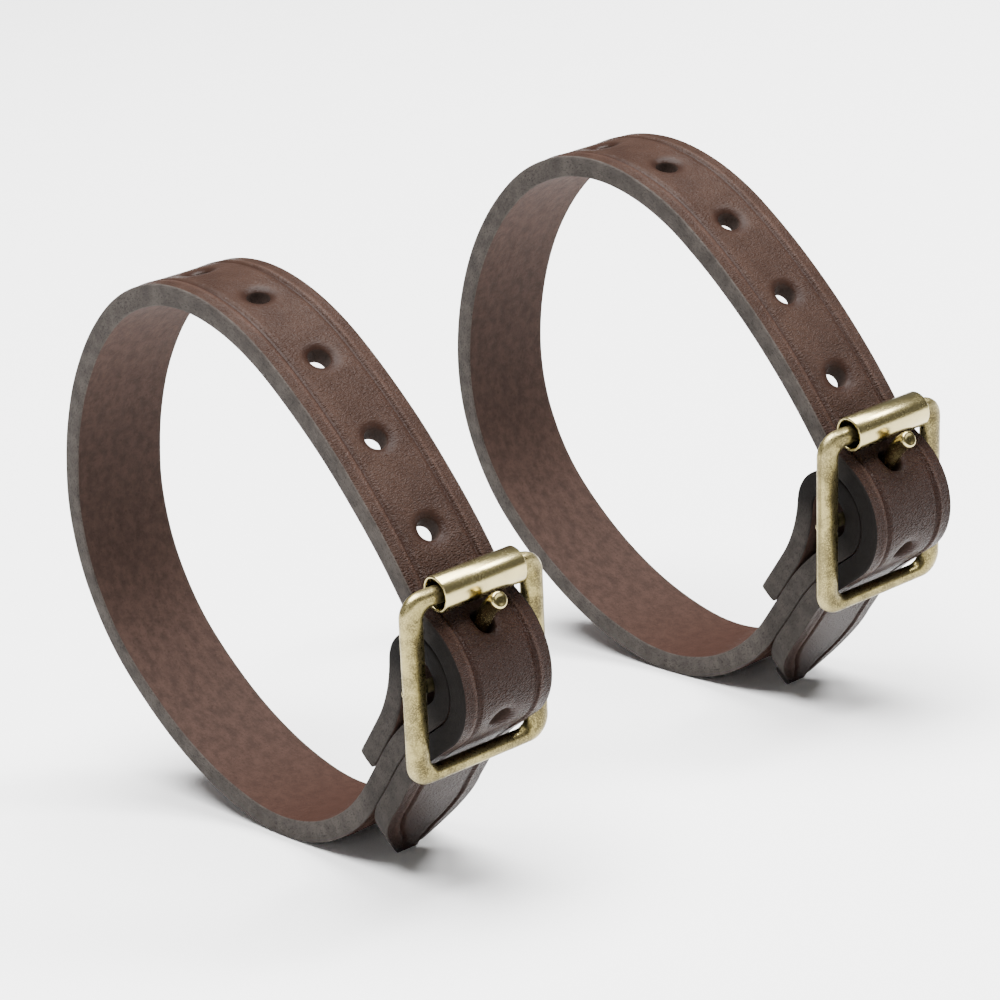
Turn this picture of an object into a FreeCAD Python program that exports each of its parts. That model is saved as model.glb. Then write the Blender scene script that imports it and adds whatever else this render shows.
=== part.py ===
import FreeCAD, Part

import math
import os

# A pair of leather buckle-strap hand grips, in millimetres and degrees.
# Each grip is one leather strap, bent into a standing loop and closed by a full roller buckle.
# The strap's route lies in the X-Z plane and the strap's width runs along Y.
# Headings are measured from +X towards +Z, and a positive turn is to the left.

DIMENSIONS = {
    # strap
    "strap_width": 19.0,
    "leather_thickness": 4.0,
    "layer_gap": 0.2,
    # fold round the buckle's centre bar
    "fold_centre_x": 47.0,
    "fold_centre_z": 6.5,
    "fold_inner_radius": 4.4,
    # from the fold down to the floor
    "throat_heading": 224.5,
    "throat_length": 7.5,
    "sway_radius": 46.0,
    "heel_heading": 240.5,
    "heel_length": 11.1,
    "bottom_right_radius": 43.6,
    # round the left side and over the top
    "bottom_left_radius": 69.5,
    "bottom_left_turn": 35.5,
    "left_low_radius": 37.6,
    "left_high_radius": 61.0,
    "left_high_turn": 42.0,
    "top_left_radius": 41.0,
    "top_right_radius": 49.7,
    # under the roller and over the fold
    "roller_heading": -47.5,
    "roller_gap": 0.5,
    # free ends
    "chape_length": 10.5,
    "tail_length": 26.8,
    "point_length": 17.0,
    "point_bulge": 2.6,
    "nib_length": 2.0,
    "nib_width": 4.4,
    # punched holes
    "hole_radius": 2.1,
    "hole_pitch": 18.2,
    "slot_width": 4.4,
    # buckle frame
    "frame_inner_width": 21.2,
    "frame_side_width": 4.4,
    "frame_thickness": 2.7,
    "frame_corner_radius": 4.2,
    "frame_edge_radius": 1.25,
    "top_bar_x": 49.3,
    "top_bar_z": 23.3,
    "top_bar_height": 3.3,
    "bottom_bar_drop": 33.0,
    "bottom_bar_height": 2.8,
    # centre bar
    "centre_bar_x": 50.0,
    "centre_bar_z": 6.9,
    "centre_bar_radius": 1.2,
    "pin_radius": 0.7,
    "pin_head_radius": 1.05,
    "pin_head_height": 0.15,
    # roller
    "roller_radius": 3.3,
    "roller_wall": 0.6,
    "roller_length": 17.2,
    "roller_offset": 1.0,
    # tongue
    "tongue_radius": 1.5,
    "tongue_bar_gap": 0.1,
    "tongue_heading": 61.0,
    "tongue_straight": 12.6,
    "tongue_bend_radius": 12.0,
    "tongue_bend": 26.0,
    "tongue_curl": 250.0,
    # rivet
    "rivet_from_end": 6.0,
    "rivet_shank_radius": 1.3,
    "rivet_head_radius": 3.2,
    "rivet_head_height": 0.8,
    "rivet_cap_height": 1.3,
    # the pair
    "pair_spacing": 94.0,
}

HOLES_BEFORE_TONGUE = 5
HOLES_AFTER_TONGUE = 1
SLOT_START = 88.0
SLOT_SWEEP = 135.0
CURL_CLEARANCE = 0.4
NIB_STEP = 0.6
SHANK_PROUD = 0.6
CAP_ROUND = 0.9
TIP_ROUND = 0.5
BAR_SET_BACK = 0.3
INNER_CORNER = 1.4


def make_sheet(document):
    sheet = document.addObject("Spreadsheet::Sheet", "dimensions")
    for row, (name, value) in enumerate(DIMENSIONS.items(), start=1):
        sheet.set("A%d" % row, name)
        sheet.set("B%d" % row, str(value))
        sheet.setAlias("B%d" % row, name)
    document.recompute()
    return sheet


def size(name):
    return float(SHEET.get(name))


def bind(thing, prop, expression):
    thing.setExpression(prop, expression.replace("$", "dimensions."))


# ---------------------------------------------------------------- plane geometry

def unit(heading):
    angle = math.radians(heading)
    return FreeCAD.Vector(math.cos(angle), 0, math.sin(angle))


def left_of(heading):
    return unit(heading + 90)


class Route:
    """A chain of straight runs and tangent arcs in the X-Z plane."""

    def __init__(self, start, heading):
        self.place = start
        self.heading = heading
        self.pieces = []

    def run(self, length):
        end = self.place + unit(self.heading) * length
        self.pieces.append(("run", self.place, end, self.heading, self.heading, None))
        self.place = end
        return self

    def turn(self, radius, angle):
        side = math.copysign(1, angle)
        centre = self.place + left_of(self.heading) * (side * radius)
        end_heading = self.heading + angle
        end = centre - left_of(end_heading) * (side * radius)
        self.pieces.append(("arc", self.place, end, self.heading, end_heading, centre))
        self.place = end
        self.heading = end_heading
        return self

    def length(self):
        return sum(piece_length(piece) for piece in self.pieces)

    def at(self, distance):
        """Point and heading at a distance along the route."""
        for piece in self.pieces:
            whole = piece_length(piece)
            if distance <= whole:
                return point_on(piece, distance / whole)
            distance -= whole
        return self.place, self.heading


def piece_length(piece):
    kind, start, end, heading, end_heading, centre = piece
    if kind == "run":
        return (end - start).Length
    return (start - centre).Length * math.radians(abs(end_heading - heading))


def point_on(piece, share):
    kind, start, end, heading, end_heading, centre = piece
    if kind == "run":
        return start + (end - start) * share, heading
    now = heading + (end_heading - heading) * share
    side = math.copysign(1, end_heading - heading)
    radius = (start - centre).Length
    return centre - left_of(now) * (side * radius), now


def offset_edges(route, distance):
    """Edges of the route moved to its left by a distance."""
    edges = []
    for piece in route.pieces:
        points = []
        for share in (0.0, 0.5, 1.0):
            point, heading = point_on(piece, share)
            points.append(point + left_of(heading) * distance)
        if piece[0] == "run":
            edges.append(Part.LineSegment(points[0], points[2]).toShape())
        else:
            edges.append(Part.Arc(points[0], points[1], points[2]).toShape())
    return edges


# ---------------------------------------------------------------- the strap's route

def fold_centre():
    return FreeCAD.Vector(size("fold_centre_x"), 0, size("fold_centre_z"))


def top_bar_centre():
    return FreeCAD.Vector(size("top_bar_x"), 0, size("top_bar_z"))


def centre_bar_centre():
    return FreeCAD.Vector(size("centre_bar_x"), 0, size("centre_bar_z"))


def fold_radius():
    return size("fold_inner_radius") + size("leather_thickness") / 2


def layer_step():
    return size("leather_thickness") + size("layer_gap")


def bulge_radius():
    return fold_radius() + layer_step()


def chape_route():
    """From the fold's inner side down to the chape's cut end, flat against the strap."""
    start = fold_centre() - FreeCAD.Vector(fold_radius(), 0, 0)
    heel = strap_to_heel()
    outward = left_of(size("heel_heading"))
    line = heel.place.dot(outward) - layer_step()
    radius = (line - start.dot(outward)) / (1 - outward.x)
    route = Route(start, 270)
    route.turn(radius, size("heel_heading") - 270)
    route.run(size("chape_length"))
    return route


def strap_to_heel():
    """From the fold's inner side over the centre bar and down to the heel bend."""
    start = fold_centre() - FreeCAD.Vector(fold_radius(), 0, 0)
    route = Route(start, 90)
    route.turn(fold_radius(), size("throat_heading") - 360 - 90)
    route.run(size("throat_length"))
    route.turn(size("sway_radius"), size("heel_heading") - size("throat_heading"))
    route.run(size("heel_length"))
    return route


def bulge_start():
    """Heading where the strap leaves the roller for the bulge, and the run between."""
    across = top_bar_centre() - fold_centre()
    roller_turn_radius = under_roller_radius()
    reach = roller_turn_radius + bulge_radius()
    bearing = math.degrees(math.atan2(across.z, across.x))
    heading = bearing - math.degrees(math.acos(reach / across.Length)) - 90
    run = math.sqrt(across.Length ** 2 - reach ** 2)
    return heading, run


def under_roller_radius():
    return size("roller_radius") + size("roller_gap") + size("leather_thickness") / 2


def strap_route():
    """The whole strap after the fold: loop, under the roller, bulge and tail."""
    route = strap_to_heel()
    route.turn(size("bottom_right_radius"), 180 - size("heel_heading"))
    route.turn(size("bottom_left_radius"), -size("bottom_left_turn"))
    route.turn(size("left_low_radius"), size("bottom_left_turn") - 90)
    route.turn(size("left_high_radius"), -size("left_high_turn"))
    route.turn(size("top_left_radius"), size("left_high_turn") - 90)

    # two arcs from the top of the loop to the roller, the second one closing the gap
    first_radius = size("top_right_radius")
    first_centre = route.place - FreeCAD.Vector(0, 0, first_radius)
    arrival = size("roller_heading")
    target = top_bar_centre() - left_of(arrival) * under_roller_radius()
    inward = -left_of(arrival)
    gap = target - first_centre
    second_radius = (first_radius ** 2 - gap.dot(gap)) / (2 * (gap.dot(inward) + first_radius))
    second_centre = target + inward * second_radius
    spoke = first_centre - second_centre
    change = math.degrees(math.atan2(spoke.z, spoke.x)) - 90
    route.turn(first_radius, change)
    route.turn(second_radius, arrival - change)

    leaving, run = bulge_start()
    route.turn(under_roller_radius(), leaving - arrival)
    route.run(run)
    route.turn(bulge_radius(), size("throat_heading") - 360 - leaving)
    route.run(size("throat_length"))
    route.turn(size("sway_radius") - layer_step(), size("heel_heading") - size("throat_heading"))
    route.run(size("tail_length"))
    return route


def distance_to_bulge(route):
    """Length of strap from the fold's inner side to the start of the bulge."""
    after_bulge = route.pieces[-4:]
    return route.length() - sum(piece_length(piece) for piece in after_bulge)


# ---------------------------------------------------------------- leather

def side_outline():
    half = size("leather_thickness") / 2
    chape = chape_route()
    strap = strap_route()
    outer = offset_edges(strap, half)
    inner = offset_edges(strap, -half)
    chape_outer = offset_edges(chape, -half)
    chape_inner = offset_edges(chape, half)
    tail_place, tail_heading = strap.place, strap.heading
    chape_place, chape_heading = chape.place, chape.heading
    tail_end = Part.LineSegment(
        tail_place + left_of(tail_heading) * half, tail_place - left_of(tail_heading) * half).toShape()
    chape_end = Part.LineSegment(
        chape_place + left_of(chape_heading) * half, chape_place - left_of(chape_heading) * half).toShape()
    edges = outer + inner + chape_outer + chape_inner + [tail_end, chape_end]
    return Part.Wire(Part.__sortEdges__(edges))


def make_blank(document, side):
    """The strap bent to its route, still with square ends and no holes."""
    outline = document.addObject("Part::Feature", side + "_outline")
    outline.Shape = side_outline()
    blank = document.addObject("Part::Extrusion", side + "_blank")
    blank.Base = outline
    blank.DirMode = "Custom"
    blank.Dir = FreeCAD.Vector(0, 1, 0)
    blank.Solid = True
    blank.Symmetric = True
    bind(blank, "LengthFwd", "$strap_width")
    return blank


def frame_at(place, heading):
    """Placement with X along the heading, Y along the width and Z to the left of the heading."""
    rotation = FreeCAD.Rotation(FreeCAD.Vector(0, -1, 0), heading)
    return FreeCAD.Placement(place, rotation)


def make_punch(document, name, place, heading, radius_name, length):
    """A round cutter along a heading, centred on a place."""
    punch = document.addObject("Part::Cylinder", name)
    bind(punch, "Radius", "$" + radius_name)
    punch.Height = length
    along = unit(heading)
    rotation = FreeCAD.Rotation(FreeCAD.Vector(0, 0, 1), along)
    punch.Placement = FreeCAD.Placement(place - along * (length / 2), rotation)
    return punch


def make_cross_rod(document, name, centre, radius, length):
    """A cylinder along Y, centred on the strap's middle plane."""
    rod = document.addObject("Part::Cylinder", name)
    if isinstance(radius, str):
        bind(rod, "Radius", radius)
    else:
        rod.Radius = radius
    rod.Height = length
    rotation = FreeCAD.Rotation(FreeCAD.Vector(1, 0, 0), -90)
    rod.Placement = FreeCAD.Placement(centre - FreeCAD.Vector(0, length / 2, 0), rotation)
    return rod


def join(document, name, shapes):
    whole = document.addObject("Part::MultiFuse", name)
    whole.Shapes = shapes
    return whole


def cut(document, name, base, tool):
    result = document.addObject("Part::Cut", name)
    result.Base = base
    result.Tool = tool
    return result


def make_hole_punches(document, side):
    """The row of adjusting holes, kept out of the fold behind the bulge."""
    route = strap_route()
    tongue_hole = distance_to_bulge(route)
    punches = []
    for step in range(-HOLES_BEFORE_TONGUE, HOLES_AFTER_TONGUE + 1):
        place, heading = route.at(tongue_hole + step * size("hole_pitch"))
        name = "%s_punch_%d" % (side, step + HOLES_BEFORE_TONGUE + 1)
        length = 2 * size("leather_thickness")
        across = heading + 90
        if step == 0:
            place, across = tongue_hole_axis(place)
        punches.append(make_punch(document, name, place, across, "hole_radius", length))
    row = join(document, side + "_hole_row", punches)
    guard_radius = fold_radius() + size("leather_thickness") / 2 + size("layer_gap") / 2
    guard = make_cross_rod(
        document, side + "_fold_guard", fold_centre(), guard_radius, size("strap_width"))
    return cut(document, side + "_guarded_holes", row, guard)


def tongue_hole_axis(near):
    """Where the tongue's straight shank crosses the strap, and its heading."""
    start, heading = tongue_shank()
    along = unit(heading)
    reach = (near - start).dot(along)
    return start + along * reach, heading


def make_slot(document, side):
    """The fold's slot, which lets the tongue's curl and shank through."""
    width = size("slot_width")
    sweep = make_cross_rod(
        document, side + "_slot_sweep", fold_centre(),
        fold_radius() + size("leather_thickness") / 2 + size("layer_gap") / 2, width)
    sweep.Angle = SLOT_SWEEP
    turned = FreeCAD.Rotation(FreeCAD.Vector(0, 1, 0), -SLOT_START)
    sweep.Placement = FreeCAD.Placement(
        fold_centre() - FreeCAD.Vector(0, width / 2, 0),
        turned * FreeCAD.Rotation(FreeCAD.Vector(1, 0, 0), -90))
    curl_room = make_cross_rod(
        document, side + "_curl_room", centre_bar_centre(),
        curl_radius() + size("tongue_radius") + CURL_CLEARANCE, width)
    return join(document, side + "_slot", [sweep, curl_room])


def make_point_waste(document, side):
    """What is trimmed from the tail to leave its curved point and small square nib."""
    route = strap_route()
    shoulder = size("point_length") + size("nib_length")
    half_width = size("strap_width") / 2
    half_nib = size("nib_width") / 2
    point = size("point_length")
    end = shoulder + 1
    beyond = half_width + 1
    middle = FreeCAD.Vector(point / 2, (half_width + half_nib) / 2 + size("point_bulge"), 0)
    corners = [
        FreeCAD.Vector(point, half_nib + NIB_STEP, 0),
        FreeCAD.Vector(point, half_nib, 0),
        FreeCAD.Vector(end, half_nib, 0),
        FreeCAD.Vector(end, beyond, 0),
        FreeCAD.Vector(0, beyond, 0),
        FreeCAD.Vector(0, half_width, 0),
    ]
    edges = [Part.Arc(corners[5], middle, corners[0]).toShape()]
    for start, stop in zip(corners[:-1], corners[1:]):
        edges.append(Part.LineSegment(start, stop).toShape())
    upper = Part.Face(Part.Wire(edges))
    lower = upper.mirror(FreeCAD.Vector(0, 0, 0), FreeCAD.Vector(0, 1, 0))
    outline = document.addObject("Part::Feature", side + "_point_outline")
    outline.Shape = Part.makeCompound([upper, lower])
    start = route.place - unit(route.heading) * shoulder
    outline.Placement = frame_at(start, route.heading)
    waste = document.addObject("Part::Extrusion", side + "_point_waste")
    waste.Base = outline
    waste.DirMode = "Custom"
    waste.Dir = left_of(route.heading)
    waste.Solid = True
    waste.Symmetric = True
    bind(waste, "LengthFwd", "$leather_thickness + $layer_gap")
    return waste


# ---------------------------------------------------------------- rivet

def rivet_axis():
    """Middle of the chape at the rivet, and the direction out through both layers."""
    route = chape_route()
    place, heading = route.at(route.length() - size("rivet_from_end"))
    return place, left_of(heading)


def rivet_cylinder(document, name, radius_name, start, stop):
    """A cylinder on the rivet's axis between two distances from the chape's middle."""
    place, out = rivet_axis()
    body = document.addObject("Part::Cylinder", name)
    bind(body, "Radius", "$" + radius_name)
    body.Height = stop - start
    rotation = FreeCAD.Rotation(FreeCAD.Vector(0, 0, 1), out)
    body.Placement = FreeCAD.Placement(place + out * start, rotation)
    return body


def rivet_levels():
    """Distances from the chape's middle: inner face, outer face and underside of the head."""
    inner = -size("leather_thickness") / 2
    outer = layer_step() + size("leather_thickness") / 2
    return inner, outer, outer - size("rivet_head_height")


def make_rivet_hole(document, side):
    inner, outer, under_head = rivet_levels()
    shank = rivet_cylinder(document, side + "_shank_hole", "rivet_shank_radius", inner - 1, under_head)
    seat = rivet_cylinder(
        document, side + "_head_seat", "rivet_head_radius", under_head, outer + size("layer_gap") / 2)
    return join(document, side + "_rivet_hole", [shank, seat])


def make_rivet_post(document, side):
    inner, outer, under_head = rivet_levels()
    shank = rivet_cylinder(
        document, side + "_rivet_shank", "rivet_shank_radius", inner - SHANK_PROUD, under_head)
    head = rivet_cylinder(document, side + "_rivet_head", "rivet_head_radius", under_head, outer)
    return join(document, side + "_rivet_post", [shank, head])


def make_rivet_cap(document, side):
    inner = rivet_levels()[0]
    disc = rivet_cylinder(
        document, side + "_cap_disc", "rivet_head_radius", inner - size("rivet_cap_height"), inner)
    document.recompute()
    dome = document.addObject("Part::Fillet", side + "_cap_dome")
    dome.Base = disc
    place, out = rivet_axis()
    rim = lowest_edge(disc.Shape, place, out)
    dome.Edges = [(rim, CAP_ROUND, CAP_ROUND)]
    socket = rivet_cylinder(
        document, side + "_cap_socket", "rivet_shank_radius", inner - SHANK_PROUD, inner)
    return cut(document, side + "_rivet_cap", dome, socket)


def lowest_edge(shape, place, out):
    """Number of the edge that lies furthest back along a direction."""
    depths = [(edge.CenterOfMass - place).dot(out) for edge in shape.Edges]
    return depths.index(min(depths)) + 1


def make_strap(document, side):
    blank = make_blank(document, side)
    tools = [
        make_hole_punches(document, side),
        make_slot(document, side),
        make_point_waste(document, side),
        make_rivet_hole(document, side),
    ]
    return cut(document, side + "_strap", blank, join(document, side + "_strap_cuts", tools))


# ---------------------------------------------------------------- buckle

def frame_tilt():
    """Heading of the buckle frame's plane, from its bottom bar up to its top bar."""
    middle = centre_bar_centre() + FreeCAD.Vector(BAR_SET_BACK, 0, 0)
    up = top_bar_centre() - middle
    return math.degrees(math.atan2(up.z, up.x))


def frame_placement():
    """Local X along the strap's width, local Y up the frame, origin on the top bar."""
    up = unit(frame_tilt())
    width = FreeCAD.Vector(0, 1, 0)
    facing = width.cross(up)
    rotation = FreeCAD.Rotation(width, up, facing, "XYZ")
    return FreeCAD.Placement(top_bar_centre(), rotation)


def rounded_loop(sketch, left, right, low, high, radius):
    """Four lines and four corner arcs, all tangent, added to a sketch."""
    vector = FreeCAD.Vector
    corners = [
        (vector(right - radius, low + radius, 0), -90),
        (vector(right - radius, high - radius, 0), 0),
        (vector(left + radius, high - radius, 0), 90),
        (vector(left + radius, low + radius, 0), 180),
    ]
    arcs = []
    for centre, start in corners:
        circle = Part.Circle(centre, vector(0, 0, 1), radius)
        arcs.append(Part.ArcOfCircle(circle, math.radians(start), math.radians(start + 90)))
    for arc in arcs:
        sketch.addGeometry(arc, False)
    for number, arc in enumerate(arcs):
        following = arcs[(number + 1) % len(arcs)]
        sketch.addGeometry(Part.LineSegment(arc.EndPoint, following.StartPoint), False)


def make_frame(document, side):
    body = document.addObject("PartDesign::Body", side + "_ring")
    plane = [item for item in body.Origin.OriginFeatures if item.Role == "XY_Plane"][0]
    sketch = body.newObject("Sketcher::SketchObject", side + "_ring_sketch")
    sketch.AttachmentSupport = [(plane, "")]
    sketch.MapMode = "FlatFace"
    inner = size("frame_inner_width") / 2
    outer = inner + size("frame_side_width")
    top = size("top_bar_height") / 2
    drop = size("bottom_bar_drop")
    bottom = size("bottom_bar_height") / 2
    rounded_loop(sketch, -outer, outer, -drop - bottom, top, size("frame_corner_radius"))
    rounded_loop(sketch, -inner, inner, -drop + bottom, -top, INNER_CORNER)
    pad = body.newObject("PartDesign::Pad", side + "_ring_pad")
    pad.Profile = sketch
    pad.Midplane = True
    bind(pad, "Length", "$frame_thickness")
    document.recompute()
    fillet = body.newObject("PartDesign::Fillet", side + "_ring_edges")
    rims = []
    for number, edge in enumerate(pad.Shape.Edges, start=1):
        box = edge.BoundBox
        if box.ZLength < 0.01:
            rims.append("Edge%d" % number)
    fillet.Base = (pad, rims)
    bind(fillet, "Radius", "$frame_edge_radius")
    body.Placement = frame_placement()
    pin_room = make_cross_rod(
        document, side + "_pin_room", centre_bar_centre(), "$pin_radius", 4 * outer)
    return cut(document, side + "_buckle_frame", body, pin_room)


def make_centre_bar(document, side):
    inner = size("frame_inner_width")
    outer = inner + 2 * size("frame_side_width")
    centre = centre_bar_centre()
    bar = make_cross_rod(document, side + "_bar_middle", centre, "$centre_bar_radius", inner)
    pin = make_cross_rod(document, side + "_bar_pin", centre, "$pin_radius", outer)
    heads = []
    for end, name in ((-1, "near"), (1, "far")):
        place = centre + FreeCAD.Vector(0, end * (outer + size("pin_head_height")) / 2, 0)
        heads.append(make_cross_rod(
            document, "%s_bar_%s_head" % (side, name), place, "$pin_head_radius",
            size("pin_head_height")))
    return join(document, side + "_centre_bar", [bar, pin] + heads)


def make_roller(document, side):
    length = size("roller_length")
    centre = top_bar_centre() + FreeCAD.Vector(0, size("roller_offset"), 0)
    outside = make_cross_rod(
        document, side + "_roller_outside", centre, "$roller_radius", length)
    inside = make_cross_rod(
        document, side + "_roller_inside", centre, "$roller_radius - $roller_wall", 2 * length)
    return cut(document, side + "_roller", outside, inside)


def curl_radius():
    return size("centre_bar_radius") + size("tongue_bar_gap") + size("tongue_radius")


def tongue_shank():
    """Start of the tongue's straight shank, where it leaves the curl, and its heading."""
    heading = size("tongue_heading")
    return centre_bar_centre() + left_of(heading) * curl_radius(), heading


def tongue_route():
    heading = size("tongue_heading")
    turned = size("tongue_curl")
    start = centre_bar_centre() + left_of(heading + turned) * curl_radius()
    route = Route(start, heading + turned)
    route.turn(curl_radius(), -turned)
    route.run(size("tongue_straight"))
    route.turn(size("tongue_bend_radius"), -size("tongue_bend"))
    return route


def make_tongue(document, side):
    """Round wire curled round the centre bar, with its free end softened."""
    route = tongue_route()
    path = Part.Wire(offset_edges(route, 0))
    start = route.pieces[0][1]
    circle = Part.Circle(start, unit(route.pieces[0][3]), size("tongue_radius"))
    wire = path.makePipeShell([Part.Wire(circle.toShape())], True, False)
    tip = route.place
    rim = min(wire.Edges, key=lambda edge: rim_distance(edge, tip))
    tongue = document.addObject("Part::Feature", side + "_tongue")
    tongue.Shape = wire.makeFillet(TIP_ROUND, [rim])
    return tongue


def rim_distance(edge, tip):
    return (edge.CenterOfMass - tip).Length


# ---------------------------------------------------------------- the pair

def floor_slope():
    """Slope of the line that touches the loop's bottom and the tail's tip."""
    route = strap_route()
    half = size("leather_thickness") / 2
    tip = route.place + left_of(route.heading) * half
    bottom = [piece for piece in route.pieces if piece[0] == "arc"][2]
    across = tip - bottom[5]
    radius = size("bottom_right_radius") + half
    return math.degrees(math.atan2(across.z, across.x) + math.asin(radius / across.Length))


MAKERS = {
    "strap": make_strap,
    "rivet_post": make_rivet_post,
    "rivet_cap": make_rivet_cap,
    "buckle_frame": make_frame,
    "centre_bar": make_centre_bar,
    "roller": make_roller,
    "tongue": make_tongue,
}


def make_pair(document):
    """Both grips, standing on their bottoms and tail tips."""
    stance = FreeCAD.Rotation(FreeCAD.Vector(0, 1, 0), floor_slope())
    pieces = []
    for side, direction in (("left", -1), ("right", 1)):
        aside = FreeCAD.Vector(0, direction * size("pair_spacing") / 2, 0)
        for name, maker in MAKERS.items():
            piece = maker(document, side)
            piece.Label = side + "_" + name
            pieces.append((piece, aside))
    document.recompute()
    for piece, aside in pieces:
        piece.Placement = FreeCAD.Placement(aside, stance) * piece.Placement
    document.recompute()
    low, high = bounds([piece for piece, aside in pieces])
    shift = FreeCAD.Vector(-(low.x + high.x) / 2, 0, -low.z)
    for piece, aside in pieces:
        piece.Placement = FreeCAD.Placement(shift, FreeCAD.Rotation()) * piece.Placement
    document.recompute()
    return [piece for piece, aside in pieces]


def bounds(pieces):
    boxes = [piece.Shape.optimalBoundingBox() for piece in pieces]
    low = FreeCAD.Vector(
        min(box.XMin for box in boxes), min(box.YMin for box in boxes), min(box.ZMin for box in boxes))
    high = FreeCAD.Vector(
        max(box.XMax for box in boxes), max(box.YMax for box in boxes), max(box.ZMax for box in boxes))
    return low, high


def check(document, pieces):
    for thing in document.Objects:
        if "Invalid" in thing.State or "Error" in thing.State:
            raise RuntimeError("failed: " + thing.Name)
    for piece in pieces:
        shape = piece.Shape
        if shape.isNull() or not shape.isValid() or len(shape.Solids) != 1:
            raise RuntimeError("bad shape: " + piece.Label)


def main():
    pieces = make_pair(DOCUMENT)
    check(DOCUMENT, pieces)
    os.makedirs("parts", exist_ok=True)
    for piece in pieces:
        piece.Shape.exportStep("parts/%s.step" % piece.Label)
        print(piece.Label, "volume", round(piece.Shape.Volume, 1))
    low, high = bounds(pieces)
    print("box", [round(value, 2) for value in tuple(low) + tuple(high)])
    print("strap length", round(strap_route().length() + chape_route().length(), 1))
    print("floor slope", round(floor_slope(), 4))


DOCUMENT = FreeCAD.newDocument("hand_grips")
SHEET = make_sheet(DOCUMENT)
main()
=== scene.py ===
"""A pair of leather buckle-strap hand grips: the looks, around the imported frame.

Lengths are in millimetres until a piece is placed, and then in metres in the frame's own axes.
A flat place on a strap is (along, across, up): along its length, across its width from the middle,
and up from its middle layer towards the grain side.
"""
import cmath
import math
from collections import namedtuple

import bmesh
import bpy
import numpy as np
from mathutils import Matrix, Vector, noise


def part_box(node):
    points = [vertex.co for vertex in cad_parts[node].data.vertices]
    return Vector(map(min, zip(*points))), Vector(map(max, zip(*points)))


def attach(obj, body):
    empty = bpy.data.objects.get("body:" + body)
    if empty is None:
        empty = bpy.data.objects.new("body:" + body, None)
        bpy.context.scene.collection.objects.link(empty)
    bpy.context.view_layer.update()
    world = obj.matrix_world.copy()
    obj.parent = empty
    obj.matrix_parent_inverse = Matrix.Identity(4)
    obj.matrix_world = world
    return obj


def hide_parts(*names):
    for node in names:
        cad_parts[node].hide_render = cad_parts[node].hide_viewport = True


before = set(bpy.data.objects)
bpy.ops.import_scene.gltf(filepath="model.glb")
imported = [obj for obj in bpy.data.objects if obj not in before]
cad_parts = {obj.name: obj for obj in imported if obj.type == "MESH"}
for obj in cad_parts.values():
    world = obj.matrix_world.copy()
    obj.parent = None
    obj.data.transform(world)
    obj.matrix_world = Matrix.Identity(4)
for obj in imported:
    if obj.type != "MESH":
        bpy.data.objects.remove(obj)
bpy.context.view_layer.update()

MM = 0.001
SLACK = 0.01

# ---------------------------------------------------------------- sizes

# They are the CAD source's, except POINT_BULGE and INNER_CORNER, which are a fraction of a millimetre off.
# Places in the plane of the loop are complex numbers, X real and Z imaginary. Headings are in degrees.
STRAP_WIDTH = 19.0
LEATHER = 4.0
LAYER_GAP = 0.2
FOLD_CENTRE = 47.0 + 6.5j
FOLD_RADIUS = 6.4
THROAT_HEADING = 224.5
THROAT_LENGTH = 7.5
SWAY_RADIUS = 46.0
HEEL_HEADING = 240.5
HEEL_LENGTH = 11.1
BOTTOM_RIGHT_RADIUS = 43.6
TOP_RIGHT_RADIUS = 49.7
# Radius and turn of each arc up the loop's left side and over its top.
LOOP_ARCS = ((69.5, -35.5), (37.6, -54.5), (61.0, -42.0), (41.0, -48.0))
ROLLER_HEADING = -47.5
CHAPE_LENGTH = 10.5
TAIL_LENGTH = 26.8
POINT_LENGTH = 17.0
POINT_BULGE = 2.3
NIB_LENGTH = 2.0
NIB_HALF_WIDTH = 2.2
NIB_STEP = 0.6
HOLE_RADIUS = 2.1
HOLE_PITCH = 18.2
TOP_BAR = 49.3 + 23.3j
CENTRE_BAR = 50.0 + 6.9j
BAR_SET_BACK = 0.3
FRAME_INNER_WIDTH = 21.2
FRAME_SIDE_WIDTH = 4.4
FRAME_THICKNESS = 2.7
FRAME_DROP = 33.0
TOP_BAR_HEIGHT = 3.3
BOTTOM_BAR_HEIGHT = 2.8
OUTER_CORNER = 4.2
INNER_CORNER = 2.0
BAR_RADIUS = 1.2
ROLLER_RADIUS = 3.3
ROLLER_GAP = 0.5
ROLLER_WALL = 0.6
ROLLER_LENGTH = 17.2
ROLLER_OFFSET = 1.0
TONGUE_RADIUS = 1.5
TONGUE_GAP = 0.1
CURL_RADIUS = BAR_RADIUS + TONGUE_GAP + TONGUE_RADIUS
CURL_TURN = 250.0
TONGUE_HEADING = 61.0
TONGUE_STRAIGHT = 12.6
TONGUE_BEND_RADIUS = 12.0
TONGUE_BEND = 26.0
RIVET_FROM_END = 6.0
RIVET_SHANK = 1.3
RIVET_HEAD = 3.2
RIVET_HEAD_HEIGHT = 0.8
RIVET_CAP_HEIGHT = 1.3


# ---------------------------------------------------------------- the strap's route

def unit(heading):
    """A step of one along a heading."""
    return cmath.exp(1j * math.radians(heading))


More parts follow.
